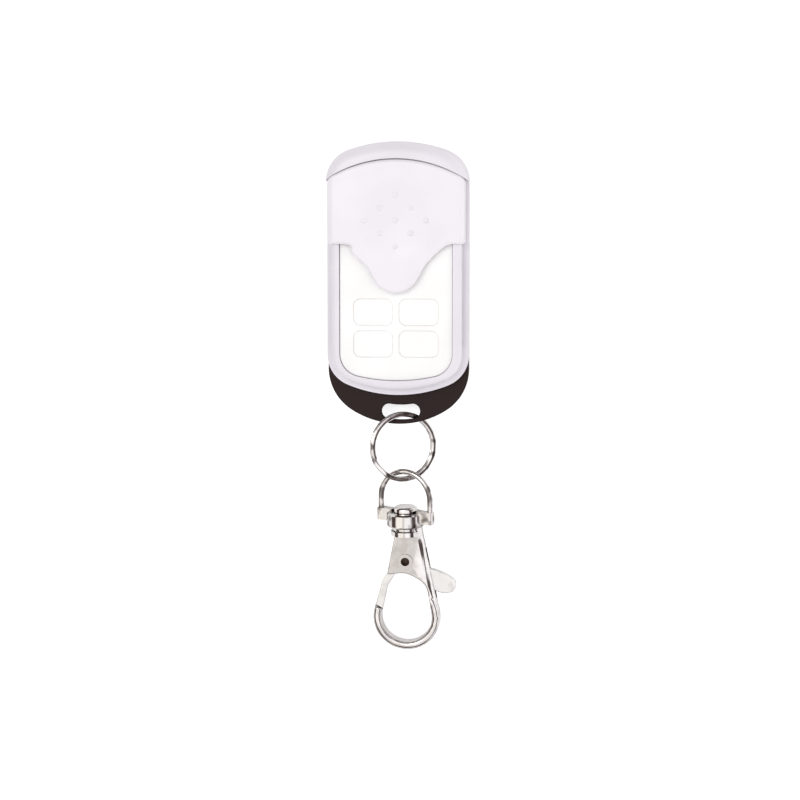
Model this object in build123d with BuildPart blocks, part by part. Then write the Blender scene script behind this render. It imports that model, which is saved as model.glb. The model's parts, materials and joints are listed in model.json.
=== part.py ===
"""Alarm key fob with a sliding thumb cover, a split ring and a swivel trigger clasp.

The fob lies on its back. +X is to its right, +Y towards its hood, +Z out of its front, in millimetres.
The origin is the middle of its flat back. Each piece is written to its own STEP file in parts.
"""

import os
from dataclasses import dataclass
from math import atan2, cos, degrees, radians, sin, sqrt

from build123d import *

# One overrun serves every cut, and one running gap serves every loose fit
cut_overrun = 1.0
running_gap = 0.15

# Housing outline, seen from the front
body_width = 30.6
body_length = 60.6
hood_corner_radius = 7.3
hood_crown_radius = 32.0
tail_corner_radius = 10.7
tail_crown_radius = 19.2
front_tail_setback = 6.4
front_corner_radius = 7.0
front_crown_radius = 28.8

# Housing heights above the back
seam_height = 5.5
ledge_height = 7.0
front_height = 10.5
hood_height = 11.6

# Rear housing
rear_floor = 1.3
rear_draft = 6.0
rear_wall = 1.5
back_edge_radius = 2.2
tail_thickness = 1.3
tail_edge_radius = 0.35
tail_sweep_start = 1.3
tail_sweep_length = 3.4
tail_sweep_dip = 0.5
key_slot_width = 8.4
key_slot_height = 3.2
key_slot_offset = 0.45
key_slot_bar = 0.95
key_slot_edge_radius = 0.3

# Front housing
side_wall = 2.65
front_skin = 1.4
shoulder_setback = 1.3
shoulder_radius = 1.3
hood_edge_radius = 3.0
hood_arch_radius = 27.5
hood_depth = 3.7
track_depth = 0.6
track_height = 0.75
window_rail = 3.1
window_top_setback = 15.3
window_bottom_band = 3.2
window_top_corner = 2.5
window_top_crown = 60.0
window_bottom_corner = 5.0
window_bottom_crown = 38.0

# Sliding cover
cover_thickness = 1.5
cover_crown = 0.3
cover_shoulder_radius = 1.7
cover_side_inset = 0.6
cover_length = 18.1
cover_stop = 10.8
cover_end_gap = 0.3
cover_arch_ease = 1.2
cover_edge_chamfer = 0.45
cover_lip_height = 0.45
tongue_length = 10.4
tongue_half_width = 12.4
tongue_width_shares = (0.77, 0.505, 0.345, 0.2)
tongue_drop_shares = (0.125, 0.45, 0.78, 0.935)
dish_diameter = 17.3
dish_depth = 0.75
dish_drop = 13.1
dimple_diameter = 1.3
dimple_depth = 0.2
dimple_reach_x = 6.5
dimple_reach_y = 5.3

# Button panel and its keys
panel_recess = 0.6
panel_plate = 0.8
panel_flange = 0.75
panel_flange_reach = 0.3
key_width = 8.4
key_length = 5.6
key_corner = 1.5
key_pitch_x = 9.8
key_pitch_y = 6.8
key_row_share = 0.221
key_flange_reach = 0.5
key_flange_height = 0.6
key_gap = 0.1
key_edge_radius = 0.2
key_travel = 0.3

# Circuit board and what stands on it
board_bottom_height = 5.2
board_thickness = 1.0
board_side_gap = 0.35
board_top_reach = 4.5
board_bottom_setback = 6.3
board_corner = 1.5
switch_side = 4.4
switch_height = 0.9
plunger_radius = 1.0
plunger_sunk = 0.15
plunger_well = 0.5
chip_size = (8.6, 3.9, 1.4)
chip_x = -4.5
chip_row_share = 0.545
can_size = (5.0, 3.4, 1.5)
can_inset = 6.1
trace_side_gap = 2.8
trace_height = 7.0
trace_width = 0.8
trace_thickness = 0.1
trace_gap = 3.0
trace_row_share = 0.76
led_size = (1.6, 0.8, 0.7)
led_setback = 1.9
lens_radius = 1.4
lens_flange_radius = 2.0
lens_flange_height = 0.45
panel_post_radius = 0.7
panel_post_inset = 1.1
panel_post_row_shares = (0.024, 0.809)

# Coin cell and its contacts
cell_radius = 10.0
cell_height = 3.2
cell_cap_radius = 8.6
cell_cap_height = 0.4
cell_edge_radius = 0.35
cell_setback = 22.3
contact_thickness = 0.25
contact_gap = 0.05
negative_width = 3.0
negative_reach = 5.0
positive_width = 6.0
positive_length = 12.0
cradle_wall = 0.8
cradle_height = 2.2

# Screws and their bosses
screw_head_radius = 1.6
screw_head_height = 1.1
screw_shank_radius = 0.75
screw_length = 7.4
screw_recess = 0.2
screw_slot_width = 0.4
screw_slot_length = 1.9
screw_slot_depth = 0.5
screw_fit = 0.05
screw_counterbore_radius = 1.8
screw_counterbore_depth = 1.5
rear_boss_radius = 2.4
front_boss_radius = 1.9
top_screw_inset = 6.1
top_screw_gap = 2.5
bottom_screw_setback = 3.7
bottom_boss_height = 8.2
post_radius = 1.0
post_inset = 1.3
post_row_shares = (0.084, 0.922)

# Split ring
ring_outer_radius = 7.6
ring_wire_width = 1.1
ring_wire_height = 0.68
ring_coil_gap = 0.06
ring_wire_corner = 0.3
ring_step_angle = 34.0
ring_step_sections = 9
ring_tilt = 29.0
ring_turn = 235.0
ring_offset = (0.9, -5.0, 4.92)

# Clasp: a swivel bail, a hook body and a sprung gate lever, drawn round the swivel's middle
clasp_offset = (1.4, -20.75, 4.3)
clasp_tilt = 5.9
bail_turn = 22.0
bail_half_width = 6.7
bail_top = 11.05
bail_wire_radius = 0.62
bail_foot_bottom = -0.7
bail_foot_top = 2.0
bail_foot_edge = 0.35
bail_foot_depth = 2.0
collar_radius = 4.1
collar_bottom = -1.6
collar_top = 1.5
collar_edge = 0.35
swivel_gap = 0.1
swivel_stem_radius = 1.5
swivel_head_radius = 2.55
swivel_head_height = 1.2
swivel_head_edge = 0.45
swivel_washer_radius = 2.85
swivel_washer_height = 0.65
swivel_groove_radius = 2.4
swivel_groove_height = 0.2
swivel_flange_radius = 3.25
swivel_flange_height = 1.0
hook_neck_left = 1.95
hook_neck_right = 3.4
hook_half_depth = 1.9
hook_loop_half_depth = 1.25
hook_taper_start = 12.5
hook_taper_end = 20.0
hook_corner = (-4.1, -12.2)
hook_throat = ((-0.1, -11.95), (3.3, -13.6))
hook_loop_centre = (0.0, -21.95)
hook_loop_outer = 7.35
hook_loop_inner = 5.55
hook_spine_outer_angle = 14.4
hook_spine_inner_angle = 10.0
hook_nose_angle = 150.0
hook_spine_bevel_width = 1.15
hook_spine_bevel_depth = 1.0
hook_rim_radius = 0.35
gate_slot_top = 6.3
gate_slot_bottom = 17.6
gate_slot_depth = 1.7
gate_pivot_drop = 9.2
gate_thickness = 1.5
gate_hub_radius = 2.2
gate_tip_radius = 12.2
gate_tip_gap = 0.15
gate_arm = ((-2.15, -9.0), (-4.1, -12.0), (-5.2, -13.6), (-7.25, -20.6), (-5.5, -21.6), (-4.1, -15.2), (-2.2, -12.0))
gate_tab = ((5.4, -11.1), (9.6, -12.6), (11.0, -14.3), (10.4, -15.9), (8.8, -16.45), (5.9, -15.6),
            (3.3, -13.4), (0.5, -11.6), (1.0, -9.3))
gate_rim_radius = 0.25
pin_radius = 1.3
pin_fit = 0.05
pin_rim_radius = 1.7
pin_rim_height = 0.25
pin_hole_radius = 0.95
pin_hole_depth = 1.2
spring_wire_radius = 0.1
spring_mean_radius = 1.75
spring_pitch = 0.22
spring_turns = 2
spring_pocket_radius = 2.35
spring_pocket_depth = 0.7
spring_long_leg = 2.6
spring_short_leg = 1.3

# Places that several pieces share
half_length = body_length / 2
half_width = body_width / 2
front_bottom = -half_length + front_tail_setback
window_width = body_width - 2 * window_rail
window_top = half_length - window_top_setback
board_top_height = board_bottom_height + board_thickness
ceiling_height = front_height - front_skin
panel_face_height = front_height - panel_recess
panel_flange_top = panel_face_height - panel_plate
panel_bottom_height = panel_flange_top - panel_flange
key_flange_top = panel_bottom_height - key_gap
key_bottom_height = key_flange_top - key_flange_height
switch_top_height = board_top_height + switch_height
cover_under_height = front_height + running_gap
cover_top_height = cover_under_height + cover_thickness
hood_arch_top = half_length - hood_depth
hood_arch_centre = hood_arch_top - hood_arch_radius
cover_side_end = hood_arch_top - cover_length
cover_travel = cover_side_end - front_bottom - cover_stop
tongue_tip = cover_side_end - tongue_length
dish_centre = hood_arch_top - dish_drop
slot_bottom = -half_length + key_slot_bar
board_half_width = half_width - side_wall - board_side_gap
board_top = window_top + board_top_reach
board_bottom = front_bottom + board_bottom_setback
board_length = board_top - board_bottom
chip_row = board_bottom + chip_row_share * board_length
trace_row = board_bottom + trace_row_share * board_length
key_row = board_bottom + key_row_share * board_length
led_centre = board_top - led_setback
cell_centre = half_length - cell_setback
top_screw_x = half_width - top_screw_inset
top_screw_y = board_top + top_screw_gap
bottom_screw_y = front_bottom + bottom_screw_setback
screw_places = ((-top_screw_x, top_screw_y), (top_screw_x, top_screw_y), (0, bottom_screw_y))
key_names = {
    "upper_left": (-key_pitch_x / 2, key_row + key_pitch_y / 2),
    "upper_right": (key_pitch_x / 2, key_row + key_pitch_y / 2),
    "lower_left": (-key_pitch_x / 2, key_row - key_pitch_y / 2),
    "lower_right": (key_pitch_x / 2, key_row - key_pitch_y / 2),
}
ring_radius = ring_outer_radius - ring_wire_width / 2
ring_place = Location((0, -half_length, 0)) * Location(ring_offset, (0, ring_tilt, 0))
clasp_place = Location((0, -half_length, 0)) * Location(clasp_offset, (clasp_tilt, 0, 0))
bail_place = clasp_place * Location((0, 0, 0), (0, -bail_turn, 0))
gate_pivot = (0, -gate_pivot_drop)


def on_circle(centre, radius, angle):
    """The point of a circle at an angle in degrees."""
    return (centre[0] + radius * cos(radians(angle)), centre[1] + radius * sin(radians(angle)))


def crown_arcs(half, end, corner, crown):
    """The points of a crowned end at +Y: side start, corner middle, corner end and crown middle."""
    reach = sqrt((crown - corner) ** 2 - (half - corner) ** 2)
    centre = end - crown + reach
    angle = atan2(reach, half - corner)
    start = (half, centre)
    middle = (half - corner + corner * cos(angle / 2), centre + corner * sin(angle / 2))
    finish = (half - corner + corner * cos(angle), centre + corner * sin(angle))
    return start, middle, finish, (0, end)


@dataclass
class Outline:
    """A straight-sided outline with a crowned top and a crowned bottom."""

    half: float
    top: float
    bottom: float
    top_corner: float
    top_crown: float
    bottom_corner: float
    bottom_crown: float

    def face(self, inset=0):
        """The outline's face, drawn in by inset all round."""
        half = self.half - inset
        upper = crown_arcs(half, self.top - inset, self.top_corner - inset, self.top_crown - inset)
        lower = crown_arcs(half, -self.bottom - inset, self.bottom_corner - inset, self.bottom_crown - inset)
        lower = [(x, -y) for x, y in lower]
        with BuildSketch() as outline:
            with BuildLine():
                for side in (1, -1):
                    a, b, c, d = [(side * x, y) for x, y in upper]
                    e, f, g, h = [(side * x, y) for x, y in lower]
                    Line(a, e)
                    ThreePointArc(a, b, c)
                    ThreePointArc(e, f, g)
                mirrored_c = (-upper[2][0], upper[2][1])
                mirrored_g = (-lower[2][0], lower[2][1])
                ThreePointArc(upper[2], upper[3], mirrored_c)
                ThreePointArc(lower[2], lower[3], mirrored_g)
            make_face()
        return outline.sketch


rear_outline = Outline(half_width, half_length, -half_length, hood_corner_radius, hood_crown_radius,
                       tail_corner_radius, tail_crown_radius)
front_outline = Outline(half_width, half_length, front_bottom, hood_corner_radius, hood_crown_radius,
                        front_corner_radius, front_crown_radius)
window_outline = Outline(window_width / 2, window_top, front_bottom + window_bottom_band, window_top_corner,
                         window_top_crown, window_bottom_corner, window_bottom_crown)


def slab(sketch, low, high, mode=Mode.ADD):
    """Extrudes a sketch between two heights, in the part that is being built."""
    extrude(sketch.moved(Location((0, 0, low))), amount=high - low, mode=mode)


def rounded_slab(sketch, low, high, radius):
    """A sketch extruded between two heights, its upper edge rounded."""
    with BuildPart() as rounded:
        extrude(sketch.moved(Location((0, 0, low))), amount=high - low)
        fillet(rounded.edges().group_by(Axis.Z)[-1], radius)
    return rounded.part


def board_places(inset, row_shares):
    """Places along both sides of the board, that far in from its sides and at those shares of its length."""
    rows = [board_bottom + share * board_length for share in row_shares]
    return [(side * (board_half_width - inset), row) for side in (-1, 1) for row in rows]


def rounded_plate(sketch, thickness, radius):
    """A sketch extruded to both sides of its plane, its rims rounded."""
    with BuildPart() as rounded:
        extrude(sketch, amount=thickness / 2, both=True)
        fillet(rounded.edges().filter_by(Axis.Z, reverse=True), radius)
    return rounded.part


def make_rear_housing():
    """The dark rear shell, with its key ring tail, screw bosses, board posts and cell cradle."""
    tail_under = seam_height - tail_thickness
    sweep_start = front_bottom + tail_sweep_start
    sweep_end = sweep_start - tail_sweep_length
    beyond = -half_length - cut_overrun
    slot_radius = tail_crown_radius - key_slot_bar - key_slot_height / 2
    slot_reach = degrees((key_slot_width - key_slot_height) / 2 / slot_radius)
    slot_centre = (key_slot_offset, tail_crown_radius - half_length)
    slot_line = CenterArc(slot_centre, slot_radius, 270 - slot_reach, 2 * slot_reach, mode=Mode.PRIVATE)
    with BuildPart() as rear_housing:
        extrude(rear_outline.face().moved(Location((0, 0, seam_height))), amount=seam_height, dir=(0, 0, -1),
                taper=rear_draft)
        fillet(rear_housing.edges().group_by(Axis.Z)[0], back_edge_radius)
        with BuildSketch(Plane.YZ):
            with BuildLine():
                Spline((sweep_start, -tail_sweep_dip), (sweep_end, tail_under), tangents=((-1, 0), (-1, 0)))
                Polyline((sweep_end, tail_under), (beyond, tail_under), (beyond, -cut_overrun),
                         (sweep_start, -cut_overrun), (sweep_start, -tail_sweep_dip))
            make_face()
        extrude(amount=body_width, both=True, mode=Mode.SUBTRACT)
        slab(front_outline.face(rear_wall), rear_floor, seam_height, Mode.SUBTRACT)
        with BuildSketch(Plane.XY.offset(rear_floor)):
            with Locations(*screw_places):
                Circle(rear_boss_radius)
        extrude(amount=seam_height - rear_floor)
        with BuildSketch(Plane.XY.offset(rear_floor)):
            with Locations(*board_places(post_inset, post_row_shares)):
                Circle(post_radius)
        extrude(amount=board_bottom_height - rear_floor)
        with BuildSketch(Plane.XY.offset(rear_floor)):
            with Locations((0, cell_centre)):
                Circle(cell_radius + running_gap + cradle_wall)
                Circle(cell_radius + running_gap, mode=Mode.SUBTRACT)
            with Locations((0, cell_centre - cell_radius)):
                Rectangle(negative_width + 2 * running_gap, 2 * (cradle_wall + cut_overrun), mode=Mode.SUBTRACT)
        extrude(amount=cradle_height)
        with Locations(Plane.XY.rotated((180, 0, 0))):
            with Locations(*[(x, -y) for x, y in screw_places]):
                CounterBoreHole(screw_shank_radius + running_gap, screw_counterbore_radius,
                                screw_counterbore_depth, seam_height)
        with BuildSketch():
            SlotArc(slot_line, key_slot_height)
        extrude(amount=seam_height, mode=Mode.SUBTRACT)
        for height, radius in ((tail_under, tail_edge_radius), (seam_height, key_slot_edge_radius)):
            level = rear_housing.edges().filter_by_position(Axis.Z, height - rear_floor / 10, height + rear_floor / 10)
            lowest = slot_bottom if height > tail_under else beyond
            mouth = level.filter_by_position(Axis.Y, lowest, sweep_end - tail_edge_radius / 10)
            fillet(mouth.filter_by(lambda edge: abs(edge.center().X) < key_slot_width), radius)
    rear_housing.part.label = "rear_housing"
    return rear_housing.part


def make_front_housing():
    """The white front shell: hood, rails with their cover tracks, window, deck and screw bosses."""
    track_top = ledge_height + track_height
    track_end = cover_side_end - cover_travel - cover_end_gap
    lens_hole_radius = lens_radius + running_gap
    hood = rounded_slab(front_outline.face(), seam_height, hood_height, hood_edge_radius)
    shoulder = rounded_slab(front_outline.face(shoulder_setback), seam_height, front_height, shoulder_radius)
    with BuildPart() as front_housing:
        add(hood)
        with BuildSketch(Plane.XY.offset(seam_height)):
            with Locations((0, hood_arch_centre)):
                Circle(hood_arch_radius)
        extrude(amount=hood_height, mode=Mode.SUBTRACT)
        slab(front_outline.face(), seam_height, ledge_height)
        add(shoulder)
        with BuildSketch(Plane.XY.offset(ledge_height)):
            add(front_outline.face(shoulder_setback))
            add(front_outline.face(shoulder_setback + track_depth), mode=Mode.SUBTRACT)
            with Locations((0, hood_arch_centre)):
                Circle(hood_arch_radius, mode=Mode.INTERSECT)
            with Locations((0, track_end)):
                Rectangle(body_width, body_length, align=(Align.CENTER, Align.MAX), mode=Mode.SUBTRACT)
        extrude(amount=track_top - ledge_height, mode=Mode.SUBTRACT)
        slab(front_outline.face(side_wall), seam_height, ceiling_height, Mode.SUBTRACT)
        slab(window_outline.face(), seam_height, front_height, Mode.SUBTRACT)
        with BuildSketch(Plane.XY.offset(seam_height)):
            with Locations(*screw_places[:2]):
                Circle(front_boss_radius)
        extrude(amount=ceiling_height - seam_height)
        with BuildSketch(Plane.XY.offset(seam_height)):
            with Locations(screw_places[2]):
                Circle(front_boss_radius)
        extrude(amount=bottom_boss_height - seam_height)
        with BuildSketch(Plane.XY.offset(seam_height)):
            with Locations(*screw_places):
                Circle(screw_shank_radius + screw_fit)
        extrude(amount=screw_recess + screw_length + running_gap - seam_height, mode=Mode.SUBTRACT)
        with BuildSketch(Plane.XY.offset(ceiling_height)):
            with Locations((0, led_centre)):
                Circle(lens_hole_radius)
        extrude(amount=front_skin, mode=Mode.SUBTRACT)
    front_housing.part.label = "front_housing"
    return front_housing.part


def tongue_edge():
    """The points of the cover's lower edge, from its right side to its tip."""
    drops = [cover_side_end - tongue_length * share for share in tongue_drop_shares]
    widths = [tongue_half_width * share for share in tongue_width_shares]
    return [(tongue_half_width, cover_side_end), *zip(widths, drops), (0, tongue_tip)]


def make_slide_cover():
    """The white thumb cover, hooked over the front housing's rails, with its dish and dimples."""
    lip_low = ledge_height + running_gap
    lip_high = lip_low + cover_lip_height
    side_height = cover_top_height - cover_crown
    corner = cover_shoulder_radius
    cover_half = half_width - cover_side_inset
    arch_radius = hood_arch_radius + cover_arch_ease
    dish_radius = (dish_diameter ** 2 / 4 + dish_depth ** 2) / (2 * dish_depth)
    right = tongue_edge()
    left = [(-x, y) for x, y in reversed(right[:-1])]
    hollow = rounded_slab(front_outline.face(shoulder_setback - running_gap), lip_high, cover_under_height,
                          shoulder_radius)
    with BuildPart() as slide_cover:
        with BuildSketch(Plane.XY.offset(lip_low)):
            add(front_outline.face())
            with Locations((0, hood_arch_top - cover_end_gap - arch_radius)):
                Circle(arch_radius, mode=Mode.INTERSECT)
            with BuildLine():
                Line((body_width, cover_side_end), right[0])
                Spline(*right, *left, tangents=((-1, 0), (-1, 0)))
                Polyline(left[-1], (-body_width, cover_side_end), (-body_width, -body_length),
                         (body_width, -body_length), (body_width, cover_side_end))
            make_face(mode=Mode.SUBTRACT)
        extrude(amount=cover_top_height - lip_low)
        with BuildSketch(Plane.XZ):
            with BuildLine():
                ThreePointArc((cover_half - corner, side_height), (0, cover_top_height),
                              (corner - cover_half, side_height))
                for side in (-1, 1):
                    start = (side * (cover_half - corner), side_height)
                    RadiusArc(start, (side * cover_half, side_height - corner), side * corner)
                    Line((side * cover_half, side_height - corner), (side * cover_half, 0))
                Line((-cover_half, 0), (cover_half, 0))
            make_face()
        extrude(amount=body_length, both=True, mode=Mode.INTERSECT)
        top_edges = slide_cover.faces().sort_by(Axis.Z)[-1].edges()
        chamfer(top_edges.filter_by(Axis.Y, reverse=True), cover_edge_chamfer)
        slab(front_outline.face(shoulder_setback + track_depth - running_gap), lip_low, lip_high, Mode.SUBTRACT)
        add(hollow, mode=Mode.SUBTRACT)
        with Locations((0, dish_centre, cover_top_height + dish_radius - dish_depth)):
            Sphere(dish_radius, mode=Mode.SUBTRACT)
        spots = [(0, 0)]
        spots += [(x * dimple_reach_x, y * dimple_reach_y) for x, y in ((1, 0), (-1, 0), (0, 1), (0, -1))]
        spots += [(x * dimple_reach_x / 2, y * dimple_reach_y / 2) for x in (1, -1) for y in (1, -1)]
        ball = (dimple_diameter ** 2 / 4 + dimple_depth ** 2) / (2 * dimple_depth)
        for x, y in spots:
            floor = cover_top_height - dish_depth + dish_radius - sqrt(dish_radius ** 2 - x ** 2 - y ** 2)
            with Locations((x, dish_centre + y, floor + ball - dimple_depth)):
                Sphere(ball, mode=Mode.SUBTRACT)
    slide_cover.part.label = "slide_cover"
    return slide_cover.part


def make_button_panel():
    """The white face plate behind the window, with its key holes and the posts that stand on the board."""
    hole_width = key_width + 2 * key_gap
    hole_length = key_length + 2 * key_gap
    with BuildPart() as button_panel:
        slab(window_outline.face(running_gap), panel_flange_top, panel_face_height)
        slab(window_outline.face(-panel_flange_reach), panel_bottom_height, panel_flange_top)
        with BuildSketch(Plane.XY.offset(panel_bottom_height)):
            with Locations(*key_names.values()):
                RectangleRounded(hole_width, hole_length, key_corner + key_gap)
        extrude(amount=panel_plate + panel_flange, mode=Mode.SUBTRACT)
        with BuildSketch(Plane.XY.offset(board_top_height)):
            with Locations(*board_places(panel_post_inset, panel_post_row_shares)):
                Circle(panel_post_radius)
        extrude(amount=panel_bottom_height - board_top_height)
    button_panel.part.label = "button_panel"
    return button_panel.part


def make_key(name, place):
    """One push key, with the flange that keeps it behind the panel."""
    with BuildPart() as key:
        with BuildSketch(Plane.XY.offset(key_bottom_height)):
            with Locations(place):
                RectangleRounded(key_width + 2 * key_flange_reach, key_length + 2 * key_flange_reach,
                                 key_corner + key_flange_reach)
        extrude(amount=key_flange_height)
        with BuildSketch(Plane.XY.offset(key_bottom_height)):
            with Locations(place):
                RectangleRounded(key_width, key_length, key_corner)
        extrude(amount=panel_face_height - key_bottom_height)
        fillet(key.edges().group_by(Axis.Z)[-1], key_edge_radius)
    key.part.label = f"key_{name}"
    return key.part


def make_plunger(name, place):
    """The plunger of one tact switch, which the key stands on."""
    well_floor = switch_top_height - plunger_sunk
    with BuildPart() as plunger:
        with BuildSketch(Plane.XY.offset(well_floor)):
            with Locations(place):
                Circle(plunger_radius)
        extrude(amount=key_bottom_height - well_floor)
    plunger.part.label = f"plunger_{name}"
    return plunger.part


def make_tact_switches():
    """The bodies of the tact switches, soldered to the board below the keys."""
    with BuildPart() as tact_switches:
        with BuildSketch(Plane.XY.offset(board_top_height)):
            with Locations(*key_names.values()):
                Rectangle(switch_side, switch_side)
        extrude(amount=switch_height)
        with BuildSketch(Plane.XY.offset(switch_top_height - plunger_well)):
            with Locations(*key_names.values()):
                Circle(plunger_radius + screw_fit)
        extrude(amount=plunger_well, mode=Mode.SUBTRACT)
    tact_switches.part.label = "tact_switches"
    return tact_switches.part


def make_circuit_board():
    """The board, clamped between the rear housing's posts and the panel's."""
    with BuildPart() as circuit_board:
        with BuildSketch(Plane.XY.offset(board_bottom_height)):
            with Locations((0, (board_top + board_bottom) / 2)):
                RectangleRounded(2 * board_half_width, board_length, board_corner)
        extrude(amount=board_thickness)
    circuit_board.part.label = "circuit_board"
    return circuit_board.part


def make_block(label, place, size, low):
    """A plain surface-mounted part: a block of that size, standing at that height."""
    width, length, height = size
    with BuildPart() as block:
        with Locations((*place, low)):
            Box(width, length, height, align=(Align.CENTER, Align.CENTER, Align.MIN))
    block.part.label = label
    return block.part


def make_resonator_can():
    """The metal can of the resonator, with rounded ends."""
    width, length, height = can_size
    with BuildPart() as resonator_can:
        with BuildSketch(Plane.XY.offset(board_top_height)):
            with Locations((board_half_width - can_inset, chip_row)):
                SlotOverall(width, length)
        extrude(amount=height)
    resonator_can.part.label = "resonator_can"
    return resonator_can.part


def make_antenna_trace():
    """The printed loop aerial on the board, open at its lower side."""
    trace_length = 2 * (board_half_width - trace_side_gap)
    with BuildPart() as antenna_trace:
        with BuildSketch(Plane.XY.offset(board_top_height)):
            with Locations((0, trace_row)):
                Rectangle(trace_length, trace_height)
                Rectangle(trace_length - 2 * trace_width, trace_height - 2 * trace_width, mode=Mode.SUBTRACT)
            with Locations((0, trace_row - trace_height / 2)):
                Rectangle(trace_gap, 2 * trace_width + trace_gap, mode=Mode.SUBTRACT)
        extrude(amount=trace_thickness)
    antenna_trace.part.label = "antenna_trace"
    return antenna_trace.part


def make_led_lens():
    """The clear light pipe from the lamp to the deck under the cover."""
    lens_bottom = board_top_height + led_size[2] + running_gap
    flange_bottom = ceiling_height - lens_flange_height
    with BuildPart() as led_lens:
        with BuildSketch(Plane.XY.offset(lens_bottom)):
            with Locations((0, led_centre)):
                Circle(lens_radius)
        extrude(amount=front_height - lens_bottom)
        with BuildSketch(Plane.XY.offset(flange_bottom)):
            with Locations((0, led_centre)):
                Circle(lens_flange_radius)
        extrude(amount=lens_flange_height)
    led_lens.part.label = "led_lens"
    return led_lens.part


def make_coin_cell():
    """The coin cell, its smaller cap down."""
    low = rear_floor + contact_thickness + contact_gap
    with BuildPart() as coin_cell:
        with BuildSketch(Plane.XY.offset(low)):
            with Locations((0, cell_centre)):
                Circle(cell_cap_radius)
        extrude(amount=cell_height)
        with BuildSketch(Plane.XY.offset(low + cell_cap_height)):
            with Locations((0, cell_centre)):
                Circle(cell_radius)
        extrude(amount=cell_height - cell_cap_height)
        fillet(coin_cell.edges().group_by(Axis.Z)[-1], cell_edge_radius)
    coin_cell.part.label = "coin_cell"
    return coin_cell.part


def make_battery_contact_negative():
    """The strip under the cell, bent up to the board beside it."""
    outer_edge = cell_centre - cell_radius - cradle_wall - 2 * running_gap
    with BuildPart() as battery_contact_negative:
        with Locations((0, outer_edge, rear_floor)):
            Box(negative_width, cell_radius + negative_reach, contact_thickness,
                align=(Align.CENTER, Align.MIN, Align.MIN))
            Box(negative_width, contact_thickness, board_bottom_height - rear_floor,
                align=(Align.CENTER, Align.MIN, Align.MIN))
    battery_contact_negative.part.label = "battery_contact_negative"
    return battery_contact_negative.part


def make_battery_contact_positive():
    """The plate between the cell and the board, with an ear bent down beside the cell."""
    ear_drop = cell_height / 2
    side = cell_radius + running_gap
    top = board_bottom_height
    with BuildPart() as battery_contact_positive:
        with Locations((side, cell_centre, top)):
            Box(positive_length, positive_width, contact_thickness, align=(Align.MAX, Align.CENTER, Align.MAX))
            Box(contact_thickness, positive_width, ear_drop, align=(Align.MIN, Align.CENTER, Align.MAX))
    battery_contact_positive.part.label = "battery_contact_positive"
    return battery_contact_positive.part


def make_housing_screws():
    """The cross-head screws that hold the two housings together, driven in from the back."""
    with BuildPart() as housing_screws:
        with BuildSketch(Plane.XY.offset(screw_recess)):
            with Locations(*screw_places):
                Circle(screw_head_radius)
        extrude(amount=screw_head_height)
        with BuildSketch(Plane.XY.offset(screw_recess)):
            with Locations(*screw_places):
                Circle(screw_shank_radius)
        extrude(amount=screw_length)
        with BuildSketch(Plane.XY.offset(screw_recess)):
            with Locations(*screw_places):
                Rectangle(screw_slot_length, screw_slot_width)
                Rectangle(screw_slot_width, screw_slot_length)
        extrude(amount=screw_slot_depth, mode=Mode.SUBTRACT)
    housing_screws.part.label = "housing_screws"
    return housing_screws.part


def make_split_ring():
    """A split ring: two flat turns of wire, one on the other, joined by a step."""
    level = (ring_wire_height + ring_coil_gap) / 2
    step_start = 360 - ring_step_angle
    with BuildPart() as split_ring:
        for height in (-level, level):
            with BuildSketch(Plane.XZ):
                with Locations((ring_radius, height)):
                    RectangleRounded(ring_wire_width, ring_wire_height, ring_wire_corner)
            revolve(axis=Axis.Z, revolution_arc=step_start)
        for section in range(ring_step_sections):
            share = section / (ring_step_sections - 1)
            angle = radians(step_start + ring_step_angle * share)
            height = level * (2 * share - 1)
            out = (cos(angle), sin(angle), 0)
            along = (-sin(angle), cos(angle), 0)
            centre = (ring_radius * out[0], ring_radius * out[1], height)
            with BuildSketch(Plane(centre, x_dir=out, z_dir=along)):
                RectangleRounded(ring_wire_width, ring_wire_height, ring_wire_corner)
        loft(ruled=True)
    ring = split_ring.part.rotate(Axis.Z, ring_turn).moved(ring_place)
    ring.label = "split_ring"
    return ring


def make_swivel_bail():
    """The bail: a round-wire arch on two feet, and the collar that turns round the hook's stem."""
    leg = bail_half_width - bail_wire_radius
    arch_centre = bail_top - bail_half_width
    foot_height = bail_foot_top - bail_foot_bottom
    foot_inner = swivel_head_radius + bail_foot_edge
    with BuildPart() as swivel_bail:
        with BuildSketch(Plane.XZ.offset(-collar_top)):
            Circle(collar_radius)
        extrude(amount=collar_top - collar_bottom)
        chamfer(swivel_bail.edges(), collar_edge)
        with BuildSketch(Plane.XZ.offset(-bail_foot_bottom)):
            with GridLocations(bail_half_width + foot_inner, 0, 2, 1):
                RectangleRounded(bail_half_width - foot_inner, bail_foot_depth, bail_foot_edge)
        extrude(amount=-foot_height)
        with BuildLine() as path:
            Line((-leg, bail_foot_bottom), (-leg, arch_centre))
            ThreePointArc((-leg, arch_centre), (0, arch_centre + leg), (leg, arch_centre))
            Line((leg, arch_centre), (leg, bail_foot_bottom))
        with BuildSketch(Plane((-leg, bail_foot_bottom, 0), x_dir=(1, 0, 0), z_dir=(0, 1, 0))):
            Circle(bail_wire_radius)
        sweep(path=path.line)
        with BuildSketch(Plane.XZ.offset(-collar_top)):
            Circle(swivel_stem_radius + swivel_gap)
        extrude(amount=collar_top - collar_bottom, mode=Mode.SUBTRACT)
    bail = swivel_bail.part.moved(bail_place)
    bail.label = "swivel_bail"
    return bail


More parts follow.
